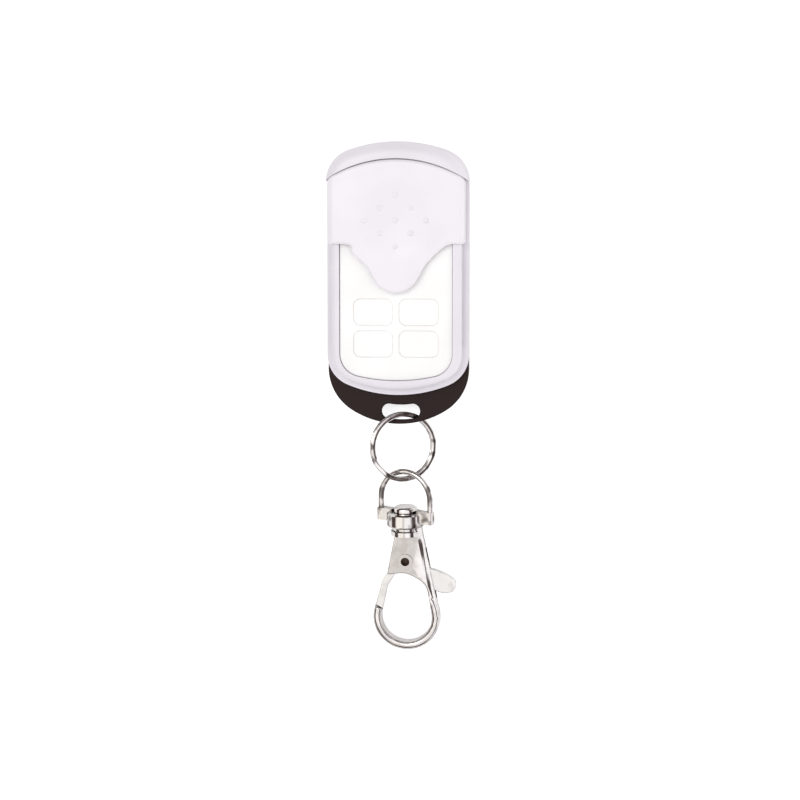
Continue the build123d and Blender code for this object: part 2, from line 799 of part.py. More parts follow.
def hook_plan(spine_out):
    """The hook's face seen from the front, from its neck to its nose, which is cut clear of the gate."""
    neck = collar_bottom - swivel_gap
    centre = hook_loop_centre
    turn = radians(hook_spine_inner_angle)
    spine_in = on_circle(centre, hook_loop_inner, hook_spine_inner_angle)
    nose_in = on_circle(centre, hook_loop_inner, hook_nose_angle)
    nose_out = on_circle(centre, hook_loop_outer, hook_nose_angle)
    with BuildSketch() as swing:
        with Locations(gate_pivot):
            Circle(gate_tip_radius + gate_tip_gap)
        Rectangle(body_length, body_length, align=(Align.MIN, Align.CENTER), mode=Mode.SUBTRACT)
        with Locations((0, hook_corner[1] - gate_hub_radius)):
            Rectangle(body_length, body_length, align=(Align.CENTER, Align.MIN), mode=Mode.SUBTRACT)
    with BuildSketch() as plan:
        with BuildLine():
            Line((-hook_neck_left, neck), hook_corner)
            Spline(hook_corner, *hook_throat, spine_in, tangents=((1, 0), (sin(turn), -cos(turn))))
            ThreePointArc(spine_in, on_circle(centre, hook_loop_inner, 270), nose_in)
            Line(nose_in, nose_out)
            ThreePointArc(nose_out, on_circle(centre, hook_loop_outer, 270), spine_out)
            Polyline(spine_out, (hook_neck_right, neck), (-hook_neck_left, neck))
        make_face()
        add(swing.sketch, mode=Mode.SUBTRACT)
    return plan.sketch


def make_hook_body():
    """The hook: stem, peened head, flange, slotted body, bevelled spine and round loop, cast in one."""
    flange_top = collar_bottom - swivel_gap
    head_low = collar_top + swivel_gap
    swivel_steps = ((swivel_washer_radius, swivel_washer_height), (swivel_groove_radius, swivel_groove_height),
                    (swivel_flange_radius, swivel_flange_height))
    spine_out = on_circle(hook_loop_centre, hook_loop_outer, hook_spine_outer_angle)
    along = Vector(spine_out[0] - hook_neck_right, spine_out[1] - flange_top).normalized()
    outward = Vector(-along.Y, along.X)
    ridge = Vector(*spine_out) - outward * hook_spine_bevel_width
    with BuildPart() as hook_body:
        extrude(hook_plan(spine_out), amount=hook_half_depth, both=True)
        with BuildSketch(Plane.YZ):
            with BuildLine():
                for side in (-1, 1):
                    full = side * hook_half_depth
                    thin = side * hook_loop_half_depth
                    Line((cut_overrun, full), (-hook_taper_start, full))
                    Spline((-hook_taper_start, full), (-hook_taper_end, thin), tangents=((-1, 0), (-1, 0)))
                    Line((-hook_taper_end, thin), (-body_length, thin))
                Line((-body_length, -hook_loop_half_depth), (-body_length, hook_loop_half_depth))
                Line((cut_overrun, -hook_half_depth), (cut_overrun, hook_half_depth))
            make_face()
        extrude(amount=body_length, both=True, mode=Mode.INTERSECT)
        rims = hook_body.edges().filter_by(Axis.X, reverse=True).filter_by(Axis.Z, reverse=True)
        fillet(rims, hook_rim_radius)
        with BuildSketch(Plane(ridge, x_dir=outward, z_dir=-along)):
            for side in (-1, 1):
                full = side * hook_half_depth
                low = side * (hook_half_depth - hook_spine_bevel_depth)
                Polygon((0, full), (hook_spine_bevel_width, low), (2 * hook_spine_bevel_width, low),
                        (2 * hook_spine_bevel_width, 2 * full), (0, 2 * full), align=None)
        extrude(amount=body_length, both=True, mode=Mode.SUBTRACT)
        with BuildSketch():
            with Locations((0, -gate_slot_top)):
                Rectangle(body_length, gate_slot_bottom - gate_slot_top, align=(Align.CENTER, Align.MAX))
        extrude(amount=gate_slot_depth / 2, both=True, mode=Mode.SUBTRACT)
        with BuildSketch():
            with Locations(gate_pivot):
                Circle(pin_radius + pin_fit)
        extrude(amount=hook_half_depth, both=True, mode=Mode.SUBTRACT)
        step_top = flange_top
        for radius, height in swivel_steps:
            with BuildSketch(Plane.XZ.offset(-step_top)):
                Circle(radius)
            extrude(amount=height)
            step_top -= height
        with BuildSketch(Plane.XZ.offset(-flange_top)):
            Circle(swivel_stem_radius)
        extrude(amount=flange_top - head_low)
        with BuildSketch(Plane.XZ.offset(-head_low - swivel_head_height)):
            Circle(swivel_head_radius)
        extrude(amount=swivel_head_height)
        chamfer(hook_body.edges().group_by(Axis.Y)[-1], swivel_head_edge)
    hook = hook_body.part.moved(clasp_place)
    hook.label = "hook_body"
    return hook


def make_gate_lever():
    """The sprung lever: hub, gate arm and thumb tab in one."""
    with BuildSketch() as arm:
        Polygon(*gate_arm, align=None)
        with Locations(gate_pivot):
            Circle(gate_tip_radius, mode=Mode.INTERSECT)
    with BuildSketch() as tab:
        with BuildLine():
            Spline(*gate_tab, periodic=True)
        make_face()
    with BuildSketch() as hub:
        with Locations(gate_pivot):
            Circle(gate_hub_radius)
    with BuildPart() as gate_lever:
        for plate in (arm, tab, hub):
            add(rounded_plate(plate.sketch, gate_thickness, gate_rim_radius))
        with BuildSketch():
            with Locations(gate_pivot):
                Circle(pin_radius + pin_fit)
        extrude(amount=gate_thickness, both=True, mode=Mode.SUBTRACT)
        with BuildSketch(Plane.XY.offset(-gate_thickness / 2)):
            with Locations(gate_pivot):
                Circle(spring_pocket_radius)
        extrude(amount=spring_pocket_depth, mode=Mode.SUBTRACT)
    lever = gate_lever.part.moved(clasp_place)
    lever.label = "gate_lever"
    return lever


def make_gate_pin():
    """The hollow rivet that the lever turns on, rolled over at both faces."""
    with BuildPart() as gate_pin:
        with BuildSketch():
            with Locations(gate_pivot):
                Circle(pin_radius)
        extrude(amount=hook_half_depth, both=True)
        for side in (-1, 1):
            face = Plane.XY.offset(side * hook_half_depth)
            with BuildSketch(face):
                with Locations(gate_pivot):
                    Circle(pin_rim_radius)
            extrude(amount=side * pin_rim_height)
            with BuildSketch(Plane.XY.offset(side * (hook_half_depth + pin_rim_height))):
                with Locations(gate_pivot):
                    Circle(pin_hole_radius)
            extrude(amount=-side * pin_hole_depth, mode=Mode.SUBTRACT)
    pin = gate_pin.part.moved(clasp_place)
    pin.label = "gate_pin"
    return pin


def make_gate_spring():
    """The torsion spring in the lever's pocket: its coil, a leg on the lever and a longer one in the body."""
    height = spring_pitch * spring_turns
    base = -gate_thickness / 2 + (spring_pocket_depth - height) / 2
    foot = (spring_mean_radius, -gate_pivot_drop, base)
    head = (spring_mean_radius, -gate_pivot_drop, base + height)
    with BuildPart() as gate_spring:
        with BuildLine() as coil:
            Helix(spring_pitch, height, spring_mean_radius, center=(0, -gate_pivot_drop, base))
        with BuildSketch(Plane(foot, z_dir=coil.line % 0)):
            Circle(spring_wire_radius)
        sweep(path=coil.line, is_frenet=True)
        with BuildSketch(Plane(foot, z_dir=(0, -1, 0))):
            Circle(spring_wire_radius)
        extrude(amount=spring_short_leg)
        with BuildSketch(Plane(head, z_dir=(0, 1, 0))):
            Circle(spring_wire_radius)
        extrude(amount=spring_long_leg)
        with Locations(foot, head):
            Sphere(spring_wire_radius)
    spring = gate_spring.part.moved(clasp_place)
    spring.label = "gate_spring"
    return spring


def main():
    """Builds every piece and writes it to parts."""
    os.makedirs("parts", exist_ok=True)
    pieces = [
        make_rear_housing(),
        make_front_housing(),
        make_slide_cover(),
        make_button_panel(),
        make_tact_switches(),
        make_circuit_board(),
        make_block("encoder_chip", (chip_x, chip_row), chip_size, board_top_height),
        make_resonator_can(),
        make_antenna_trace(),
        make_block("status_led", (0, led_centre), led_size, board_top_height),
        make_led_lens(),
        make_coin_cell(),
        make_battery_contact_negative(),
        make_battery_contact_positive(),
        make_housing_screws(),
        make_split_ring(),
        make_swivel_bail(),
        make_hook_body(),
        make_gate_lever(),
        make_gate_pin(),
        make_gate_spring(),
    ]
    pieces += [make_key(name, place) for name, place in key_names.items()]
    pieces += [make_plunger(name, place) for name, place in key_names.items()]
    for piece in pieces:
        export_step(piece, f"parts/{piece.label}.step")


main()
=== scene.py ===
"""Looks for a pocket key fob: its shells and thumb cover, its keys, and its split ring and swivel hook.

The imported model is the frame. Everything is in metres, in that model's own axes: +Y is the hood end, +Z is
out of the front, and the fob lies on its back on the floor.
"""

from __future__ import annotations

import json
import logging
import math
from collections.abc import Mapping, Sequence
from dataclasses import dataclass, field
from enum import Enum

import bmesh
import bpy
from mathutils import Matrix, Vector

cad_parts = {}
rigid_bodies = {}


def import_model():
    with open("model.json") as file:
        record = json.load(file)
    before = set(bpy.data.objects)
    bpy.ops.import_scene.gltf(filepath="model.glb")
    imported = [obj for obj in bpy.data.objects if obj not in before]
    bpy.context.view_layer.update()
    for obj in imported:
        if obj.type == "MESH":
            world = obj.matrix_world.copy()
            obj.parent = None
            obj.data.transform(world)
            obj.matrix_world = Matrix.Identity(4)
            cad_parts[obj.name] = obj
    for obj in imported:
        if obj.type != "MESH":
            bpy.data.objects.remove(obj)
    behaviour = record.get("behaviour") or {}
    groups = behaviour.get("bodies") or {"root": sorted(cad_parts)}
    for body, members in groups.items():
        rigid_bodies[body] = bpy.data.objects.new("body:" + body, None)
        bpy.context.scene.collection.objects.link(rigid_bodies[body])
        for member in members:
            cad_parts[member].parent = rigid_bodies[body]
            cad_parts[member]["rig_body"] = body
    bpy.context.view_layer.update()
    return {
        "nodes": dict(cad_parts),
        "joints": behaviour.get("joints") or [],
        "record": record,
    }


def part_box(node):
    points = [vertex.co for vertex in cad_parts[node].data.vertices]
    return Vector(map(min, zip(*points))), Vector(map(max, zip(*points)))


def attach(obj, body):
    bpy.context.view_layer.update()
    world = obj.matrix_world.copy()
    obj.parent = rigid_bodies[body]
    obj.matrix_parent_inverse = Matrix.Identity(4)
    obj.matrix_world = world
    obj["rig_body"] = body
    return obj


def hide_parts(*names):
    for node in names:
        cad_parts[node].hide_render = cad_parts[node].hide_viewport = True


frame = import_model()

LOG = logging.getLogger("key_fob")
MM = 0.001
SHARP_EDGE = math.radians(28)
MERGE_REACH = 0.0005 * MM
FLAT_FACE_WEIGHT = 100
ROUND_SIDES = 40
Colour = tuple[float, float, float]
Span = tuple[float, float]


def written(red: int, green: int, blue: int) -> Colour:
    """Turns a colour as it is written on screen, 0 to 255, into the linear one that Blender takes.

    Args:
        red: The red value.
        green: The green value.
        blue: The blue value.

    Returns:
        The linear colour.
    """
    shares = [value / 255 for value in (red, green, blue)]
    return tuple(s / 12.92 if s <= 0.04045 else ((s + 0.055) / 1.055) ** 2.4 for s in shares)


class Value:
    """One socket of a node tree, with the arithmetic that node maths needs."""

    def __init__(self, tree: Tree, socket: bpy.types.NodeSocket) -> None:
        """Wraps a socket.

        Args:
            tree: The tree that the socket is in.
            socket: An output socket.
        """
        self.tree = tree
        self.socket = socket

    def _math(self, operation: str, *terms: Value | float) -> Value:
        """Adds one Math node.

        Args:
            operation: The node's operation.
            terms: Its inputs, in order.

        Returns:
            The node's result.
        """
        return self.tree.node("ShaderNodeMath", {"operation": operation}, dict(enumerate(terms)))

    def __add__(self, other: Value | float) -> Value:
        """The sum."""
        return self._math("ADD", self, other)

    def __radd__(self, other: float) -> Value:
        """The sum, with the number first."""
        return self._math("ADD", other, self)

    def __sub__(self, other: Value | float) -> Value:
        """The difference."""
        return self._math("SUBTRACT", self, other)

    def __rsub__(self, other: float) -> Value:
        """The difference, with the number first."""
        return self._math("SUBTRACT", other, self)

    def __mul__(self, other: Value | float) -> Value:
        """The product."""
        return self._math("MULTIPLY", self, other)

    def __rmul__(self, other: float) -> Value:
        """The product, with the number first."""
        return self._math("MULTIPLY", other, self)

    def __truediv__(self, other: Value | float) -> Value:
        """The quotient."""
        return self._math("DIVIDE", self, other)

    def cosine(self) -> Value:
        """The cosine of an angle in radians."""
        return self._math("COSINE", self)

    def sine(self) -> Value:
        """The sine of an angle in radians."""
        return self._math("SINE", self)

    def root(self) -> Value:
        """The square root."""
        return self._math("SQRT", self)

    def size(self) -> Value:
        """The value without its sign."""
        return self._math("ABSOLUTE", self)

    def within(self, low: Value | float, high: Value | float) -> Value:
        """Holds the value between two others.

        Args:
            low: The least that it may be.
            high: The most that it may be.

        Returns:
            The held value.
        """
        return self._math("MINIMUM", self._math("MAXIMUM", self, low), high)

    def smooth(self, low: float | Value, high: float | Value) -> Value:
        """Rises smoothly from 0 at low to 1 at high.

        Args:
            low: The value that gives 0.
            high: The value that gives 1.

        Returns:
            The smoothed share.
        """
        settings = {"interpolation_type": "SMOOTHSTEP"}
        inputs = {"Value": self, "From Min": low, "From Max": high}
        return self.tree.node("ShaderNodeMapRange", settings, inputs)


class Tree:
    """A node tree that is built by calls, one for each node."""

    def __init__(self, tree: bpy.types.NodeTree) -> None:
        """Wraps a tree and empties it.

        Args:
            tree: The node tree.
        """
        self.tree = tree
        self.tree.nodes.clear()

    def node(
        self,
        kind: str,
        settings: Mapping[str, object] | None = None,
        inputs: Mapping[int | str, object] | None = None,
        output: int | str = 0,
    ) -> Value:
        """Adds one node.

        Args:
            kind: The node's type.
            settings: Its properties, which are set first.
            inputs: What its input sockets get: a Value or a list of them is linked, and anything else is set.
            output: The output that is returned.

        Returns:
            That output.
        """
        made = self.tree.nodes.new(kind)
        for name, setting in (settings or {}).items():
            setattr(made, name, setting)
        for name, given in (inputs or {}).items():
            linked = given if isinstance(given, list) else [given]
            if isinstance(linked[0], Value):
                for value in linked:
                    self.tree.links.new(value.socket, made.inputs[name])
            else:
                made.inputs[name].default_value = given
        return Value(self, made.outputs[output]) if made.outputs else None

    def mix_colours(self, share: Value | float, first: object, second: object) -> Value:
        """Mixes two colours.

        Args:
            share: 0 gives the first colour and 1 the second.
            first: A colour or a Value.
            second: A colour or a Value.

        Returns:
            The mixed colour.
        """
        sides = [given if isinstance(given, Value) else (*given, 1) for given in (first, second)]
        inputs = {0: share, 6: sides[0], 7: sides[1]}
        return self.node("ShaderNodeMix", {"data_type": "RGBA"}, inputs, 2)


class Shader(Tree):
    """The node tree of one material, on the piece's own coordinates."""

    def __init__(self, name: str) -> None:
        """Makes the material.

        Args:
            name: The material's name.
        """
        self.material = bpy.data.materials.new(name)
        self.material.use_nodes = True
        super().__init__(self.material.node_tree)
        self.place = self.node("ShaderNodeTexCoord", output="Object")

    def noise(self, size: float, detail: float = 2.0, stretch: Sequence[float] = (1, 1, 1)) -> Value:
        """A noise whose lumps are about that large.

        Args:
            size: The size of a lump, in metres.
            detail: How many finer layers it has.
            stretch: How much longer its lumps are along each axis.

        Returns:
            The noise, from 0 to 1.
        """
        scale = [1 / (size * longer) for longer in stretch]
        place = self.node("ShaderNodeMapping", None, {"Vector": self.place, "Scale": scale})
        return self.node("ShaderNodeTexNoise", None, {"Vector": place, "Scale": 1.0, "Detail": detail})

    def bump(self, height: Value, depth: float) -> Value:
        """Turns a height into a normal.

        Args:
            height: The height, from 0 to 1.
            depth: What a height of 1 is, in metres.

        Returns:
            The normal.
        """
        return self.node("ShaderNodeBump", None, {"Height": height, "Distance": depth, "Strength": 1.0})

    def surface(self, **inputs: object) -> bpy.types.Material:
        """Ends the material in a Principled BSDF.

        Args:
            inputs: What its sockets get, with _ for a space in a socket's name.

        Returns:
            The material.
        """
        sockets = {name.replace("_", " "): given for name, given in inputs.items()}
        shader = self.node("ShaderNodeBsdfPrincipled", None, sockets)
        self.node("ShaderNodeOutputMaterial", None, {"Surface": shader})
        return self.material


class GeometryTree(Tree):
    """A Geometry Nodes tree with named sizes, which is run once and leaves a plain mesh."""

    def __init__(self, name: str, sizes: Mapping[str, float | int]) -> None:
        """Makes the tree and its named inputs.

        Args:
            name: The tree's name.
            sizes: Each input's name and what it is given. A whole number makes a whole-number input.
        """
        self.name = name
        self.sizes = sizes
        group = bpy.data.node_groups.new(name, "GeometryNodeTree")
        super().__init__(group)
        group.interface.new_socket("Geometry", in_out="INPUT", socket_type="NodeSocketGeometry")
        group.interface.new_socket("Geometry", in_out="OUTPUT", socket_type="NodeSocketGeometry")
        self.identifiers = {}
        for size, given in sizes.items():
            kind = "NodeSocketInt" if isinstance(given, int) else "NodeSocketFloat"
            socket = group.interface.new_socket(size, in_out="INPUT", socket_type=kind)
            self.identifiers[size] = socket.identifier
        self.entry = group.nodes.new("NodeGroupInput")

    def given(self, name: str) -> Value:
        """The value of a named input.

        Args:
            name: The input's name.

        Returns:
            Its value.
        """
        return Value(self, self.entry.outputs[name])

    def vector(self, across: Value | float, along: Value | float, up: Value | float) -> Value:
        """Joins three values into a vector.

        Args:
            across: The part along X.
            along: The part along Y.
            up: The part along Z.

        Returns:
            The vector.
        """
        return self.node("ShaderNodeCombineXYZ", None, {"X": across, "Y": along, "Z": up})

    def moved(self, shape: Value, by: Value) -> Value:
        """Moves a shape.

        Args:
            shape: The shape.
            by: The vector that it moves by.

        Returns:
            The moved shape.
        """
        return self.node("GeometryNodeTransform", None, {"Geometry": shape, "Translation": by})

    def joined(self, *shapes: Value) -> Value:
        """Joins shapes into one.

        Args:
            shapes: The shapes.

        Returns:
            The joined shape.
        """
        return self.node("GeometryNodeJoinGeometry", None, {"Geometry": list(shapes)})

    def run(
        self,
        shape: Value,
        finish: Finish,
        points: Sequence[Sequence[float]] = ((0, 0, 0),),
        edge: float = 0.0,
    ) -> bpy.types.Object:
        """Ends the tree, runs it on some points and keeps the mesh that it leaves.

        Args:
            shape: The geometry that the tree gives.
            finish: Its finish.
            points: The vertices of the mesh that the tree starts from.
            edge: The width to which sharp edges are rounded afterwards, or 0.

        Returns:
            The plain object, named for the tree.
        """
        whole = self.node("GeometryNodeRealizeInstances", None, {"Geometry": shape})
        painted = self.node("GeometryNodeSetMaterial", None, {
            "Geometry": whole, "Material": finish.material()})
        self.node("NodeGroupOutput", None, {"Geometry": painted})
        base = bpy.data.meshes.new(f"{self.name}_points")
        base.from_pydata([tuple(point) for point in points], [], [])
        source = add_object(f"{self.name}_source", base)
        modifier = source.modifiers.new("tree", "NODES")
        modifier.node_group = self.tree
        for size, given in self.sizes.items():
            modifier[self.identifiers[size]] = given
        if edge:
            bevel = source.modifiers.new("edges", "BEVEL")
            bevel.width = edge
            bevel.segments = 2
            bevel.limit_method = "ANGLE"
        return baked(source, self.name)


@dataclass(frozen=True)
class MouldedPlastic:
    """Injection-moulded plastic: a fine spark texture, soft flow shading and an even satin gloss."""

    name: str
    colour: Colour
    roughness: float = 0.36
    grain: float = 0.22 * MM
    grain_depth: float = 0.004 * MM
    flow: float = 9 * MM
    flow_share: float = 0.035
    flow_span: Span = (0.3, 0.7)
    grain_dulling: float = 0.08
    flow_dulling: float = 0.05
    gloss: float = 0.5

    def material(self) -> bpy.types.Material:
        """Builds the material."""
        shader = Shader(self.name)
        flow = shader.noise(self.flow, 1.0)
        grain = shader.noise(self.grain, 3.0)
        darker = tuple(channel * (1 - self.flow_share) for channel in self.colour)
        return shader.surface(
            Base_Color=shader.mix_colours(flow.smooth(*self.flow_span), self.colour, darker),
            Roughness=self.roughness + self.grain_dulling * (grain - 0.5) + self.flow_dulling * (flow - 0.5),
            Normal=shader.bump(grain, self.grain_depth),
            IOR=1.5,
            Specular_IOR_Level=self.gloss,
        )


@dataclass(frozen=True)
class NickelPlate:
    """Polished nickel, wavy from tumbling, with painted dark brown shade in its corners, crevices and holes,
    and tarnished patches.
    """

    name: str
    colour: Colour = (0.86, 0.825, 0.81)
    roughness: float = 0.12
    wave: float = 1.6 * MM
    wave_depth: float = 0.030 * MM
    pit: float = 0.16 * MM
    pit_depth: float = 0.0012 * MM
    pit_dulling: float = 0.04
    handled_size: float = 3.5
    handled_span: Span = (0.42, 0.72)
    handled_tone: float = 0.86
    handled_dulling: float = 0.07
    # Dark brown, used for the painted shade in corners and holes and also for the tarnished patches.
    shade_and_tarnish: Colour = (0.055, 0.035, 0.028)
    shade_reach: float = 1.1 * MM
    shade_span: Span = (0.22, 0.62)
    tarnish: float = 0.12
    tarnish_reach: float = 2.4 * MM
    tarnish_span: Span = (0.46, 0.66)

    def material(self) -> bpy.types.Material:
        """Builds the material."""
        shader = Shader(self.name)
        wave = shader.noise(self.wave, 1.5)
        pit = shader.noise(self.pit, 3.0)
        handled = shader.noise(self.handled_size * self.wave, 4.0).smooth(*self.handled_span)
        duller = tuple(channel * self.handled_tone for channel in self.colour)
        depth = self.wave_depth
        height = wave + (self.pit_depth / depth) * pit + self.crown(shader) / depth
        # Painted shade: ambient occlusion darkens the colour towards dark brown in corners, crevices and
        # holes.
        openness = shader.node(
            "ShaderNodeAmbientOcclusion", {"samples": 4}, {"Distance": self.shade_reach}, "AO")
        tarnish = self.tarnish * shader.noise(self.tarnish_reach, 1.0).smooth(*self.tarnish_span)
        plate = shader.mix_colours(tarnish, shader.mix_colours(handled, self.colour, duller), self.shade_and_tarnish)
        return shader.surface(
            # The painted shade goes over the plate's own colour here.
            Base_Color=shader.mix_colours(openness.smooth(*self.shade_span), self.shade_and_tarnish, plate),
            Metallic=1.0,
            Roughness=self.roughness + self.handled_dulling * handled + self.pit_dulling * (pit - 0.5),
            Normal=shader.bump(height, depth),
        )

    def crown(self, shader: Shader) -> Value | float:
        """The height that the finish adds over a rounded stretch, which plain nickel hasn't.

        Args:
            shader: The material that asks. Not used here.

        Returns:
            The height, in metres.
        """
        return 0.0


@dataclass(frozen=True)
class LoopedNickel(NickelPlate):
    """Nickel over a flat casting whose loop was tumbled round across its width."""

    loop_centre: tuple[float, float, float] = (0.0, 0.0, 0.0)
    loop_tilt: float = 0.0
    loop_middle: float = 6.45 * MM
    loop_half: float = 0.75 * MM
    loop_height: float = 0.36 * MM
    loop_start: Span = (3.0 * MM, 6.0 * MM)

    def crown(self, shader: Shader) -> Value | float:
        """The dome across the loop's width, worked out about the loop's centre.

        Args:
            shader: The material that asks.

        Returns:
            The height, in metres.
        """
        settings = {"vector_type": "TEXTURE"}
        flat = shader.node("ShaderNodeMapping", settings, {
            "Vector": shader.place, "Location": self.loop_centre, "Rotation": (self.loop_tilt, 0.0, 0.0)})
        split = shader.node("ShaderNodeSeparateXYZ", None, {0: flat})
        across, along = (Value(shader, split.socket.node.outputs[axis]) for axis in "XY")
        off = ((across * across + along * along).root() - self.loop_middle) / self.loop_half
        dome = 1 - (off * off).within(0.0, 1.0)
        return self.loop_height * dome * (1 - along.smooth(*self.loop_start))


@dataclass(frozen=True)
class DrawnSteel:
    """Drawn, rolled or turned steel: fine lines along one axis, and a dull plated sheen."""

    name: str
    colour: Colour = (0.56, 0.56, 0.55)
    roughness: float = 0.3
    line: float = 0.05 * MM
    line_share: float = 0.02
    line_dulling: float = 0.18
    stretch: tuple[float, float, float] = (30, 1, 1)
    stain_size: float = 40.0
    stain_span: Span = (0.4, 0.75)
    stain_tone: float = 0.82

    def material(self) -> bpy.types.Material:
        """Builds the material."""
        shader = Shader(self.name)
        lines = shader.noise(self.line, 2.0, self.stretch)
        stain = shader.noise(self.stain_size * self.line, 3.0)
        darker = tuple(channel * self.stain_tone for channel in self.colour)
        return shader.surface(
            Base_Color=shader.mix_colours(stain.smooth(*self.stain_span), self.colour, darker),
            Metallic=1.0,
            Roughness=self.roughness + self.line_dulling * (lines - 0.5),
            Normal=shader.bump(lines, self.line_share * self.line),
        )


@dataclass(frozen=True)
class SolderMask:
    """A printed board: green solder mask over faint copper tracks, and a glass weave below."""

    name: str
    colour: Colour = (0.012, 0.13, 0.045)
    track_tone: float = 1.8
    track_lift: float = 0.01
    roughness: float = 0.25
    track: float = 1.1 * MM
    track_edge: Span = (0.06, 0.1)
    track_height: float = 0.02 * MM
    track_share: float = 0.8
    weave: float = 0.35 * MM
    weave_share: float = 0.2
    weave_dulling: float = 0.1

    def material(self) -> bpy.types.Material:
        """Builds the material."""
        shader = Shader(self.name)
        track = shader.node("ShaderNodeTexVoronoi", {"feature": "DISTANCE_TO_EDGE"},
                            {"Vector": shader.place, "Scale": 1 / self.track})
        raised = 1 - track.smooth(*self.track_edge)
        weave = shader.noise(self.weave, 1.0)
        lighter = tuple(channel * self.track_tone + self.track_lift for channel in self.colour)
        return shader.surface(
            Base_Color=shader.mix_colours(raised * self.track_share, self.colour, lighter),
            Roughness=self.roughness + self.weave_dulling * weave,
            Normal=shader.bump(raised + self.weave_share * weave, self.track_height),
        )


@dataclass(frozen=True)
class ClearTint:
    """A tinted clear moulding, such as a lamp's lens."""

    name: str
    colour: Colour = (0.85, 0.16, 0.1)
    roughness: float = 0.08
    alpha: float = 0.72
    swirl: float = 0.8 * MM
    swirl_tone: float = 0.8
    swirl_dulling: float = 0.06
    swirl_cover: float = 0.1

    def material(self) -> bpy.types.Material:
        """Builds the material."""
        shader = Shader(self.name)
        swirl = shader.noise(self.swirl, 2.0)
        deeper = tuple(channel * self.swirl_tone for channel in self.colour)
        return shader.surface(
            Base_Color=shader.mix_colours(swirl, self.colour, deeper),
            Roughness=self.roughness + self.swirl_dulling * swirl,
            Alpha=self.alpha + self.swirl_cover * swirl,
            IOR=1.49,
        )


class Finish(Enum):
    """The finishes of the fob, each made once."""

    WHITE_SHELL = MouldedPlastic("white_shell", written(233, 228, 235))
    WHITE_COVER = MouldedPlastic("white_cover", written(240, 235, 241), roughness=0.33)
    WHITE_PANEL = MouldedPlastic(
        "white_panel", written(253, 252, 251), roughness=0.24, grain_depth=0.001 * MM)
    WHITE_KEY = MouldedPlastic(
        "white_key", written(254, 253, 252), roughness=0.26, grain_depth=0.001 * MM)
    DARK_SHELL = MouldedPlastic(
        "dark_shell", written(34, 19, 17), roughness=0.5, grain_depth=0.008 * MM, gloss=0.2)
    BLACK_SWITCH = MouldedPlastic("black_switch", written(28, 28, 29), roughness=0.5)
    BLACK_CHIP = MouldedPlastic("black_chip", written(24, 24, 25), roughness=0.6, grain=0.08 * MM)
    NICKEL_WIRE = NickelPlate(
        "nickel_wire", roughness=0.1, wave=4.0 * MM, wave_depth=0.08 * MM, tarnish=0.8)
    NICKEL_SATIN = NickelPlate(
        "nickel_satin", colour=(0.93, 0.915, 0.91), roughness=0.27, wave_depth=0.015 * MM)
    # A longer reach deepens the painted shade in the pin's hole.
    NICKEL_PIN = NickelPlate("nickel_pin", shade_reach=2.5 * MM, shade_span=(0.6, 0.95))
    SPRING_WIRE = DrawnSteel("spring_wire", colour=(0.42, 0.42, 0.43))
    SCREW_ZINC = DrawnSteel("screw_zinc", colour=(0.5, 0.5, 0.48), stretch=(1, 1, 1))
    TIN_STRIP = DrawnSteel("tin_strip", colour=(0.62, 0.61, 0.58))
    CELL_CASE = DrawnSteel("cell_case", colour=(0.63, 0.63, 0.62), stretch=(1, 30, 1))
    COPPER_FOIL = DrawnSteel("copper_foil", colour=(0.75, 0.36, 0.2))
    GREEN_BOARD = SolderMask("green_board")
    RED_LENS = ClearTint("red_lens")

    def material(self) -> bpy.types.Material:
        """The finish's material, built at its first use."""
        return bpy.data.materials.get(self.value.name) or self.value.material()


def add_object(name: str, mesh: bpy.types.Mesh) -> bpy.types.Object:
    """Links a mesh to the scene as an object at the origin.

    Args:
        name: The object's name.
        mesh: Its mesh.

    Returns:
        The object.
    """
    made = bpy.data.objects.new(name, mesh)
    bpy.context.scene.collection.objects.link(made)
    return made


def baked(source: bpy.types.Object, name: str) -> bpy.types.Object:
    """Turns an object with live modifiers into one of a plain mesh, and removes the source.

    Args:
        source: The object with its modifiers.
        name: The new object's name.

    Returns:
        The plain object.
    """
    bpy.context.view_layer.update()
    evaluated = source.evaluated_get(bpy.context.evaluated_depsgraph_get())
    mesh = bpy.data.meshes.new_from_object(evaluated)
    bpy.data.objects.remove(source)
    return add_object(name, mesh)


def shade(piece: bpy.types.Object, sharp: float = SHARP_EDGE) -> None:
    """Shades a piece smooth, with its edges sharper than an angle kept sharp and its flats kept flat.

    Args:
        piece: The object.
        sharp: The angle, in radians.
    """
    piece.data.shade_smooth()
    piece.data.set_sharp_from_angle(angle=sharp)
    weighted = piece.modifiers.new("flat_faces_lead", "WEIGHTED_NORMAL")
    weighted.keep_sharp = True
    weighted.weight = FLAT_FACE_WEIGHT


def paint(piece: bpy.types.Object, finish: Finish) -> None:
    """Gives a whole piece one finish.

    Args:
        piece: The object.
        finish: The finish.
    """
    piece.data.materials.clear()
    piece.data.materials.append(finish.material())


def rounded_outline(half_x: float, half_y: float, corner: float, steps: int = 8) -> list[tuple[float, float]]:
    """The points of a rectangle with round corners about the origin, from its right side round to the left.

    Args:
        half_x: Half its width.
        half_y: Half its length.
        corner: The radius of its corners.
        steps: The parts of each corner.

    Returns:
        The points, counter-clockwise.
    """
    points = []
    for quarter, (side_x, side_y) in enumerate(((1, 1), (-1, 1), (-1, -1), (1, -1))):
        for step in range(steps + 1):
            angle = math.radians(90 * (quarter + step / steps))
            points.append((side_x * (half_x - corner) + corner * math.cos(angle),
                           side_y * (half_y - corner) + corner * math.sin(angle)))
    return points


def slot_of(node: str) -> str:
    """The record's material slot of a CAD node.

    Args:
        node: The node's name.

    Returns:
        The slot's name.
    """
    return next(part["material_slot"] for part in frame["record"]["subparts"] if part["node"] == node)


def joint(name: str) -> dict:
    """The joint of that name, as the record has it.

    Args:
        name: The joint's name.

    Returns:
        Its entry.
    """
    return next(entry for entry in frame["joints"] if entry["name"] == name)


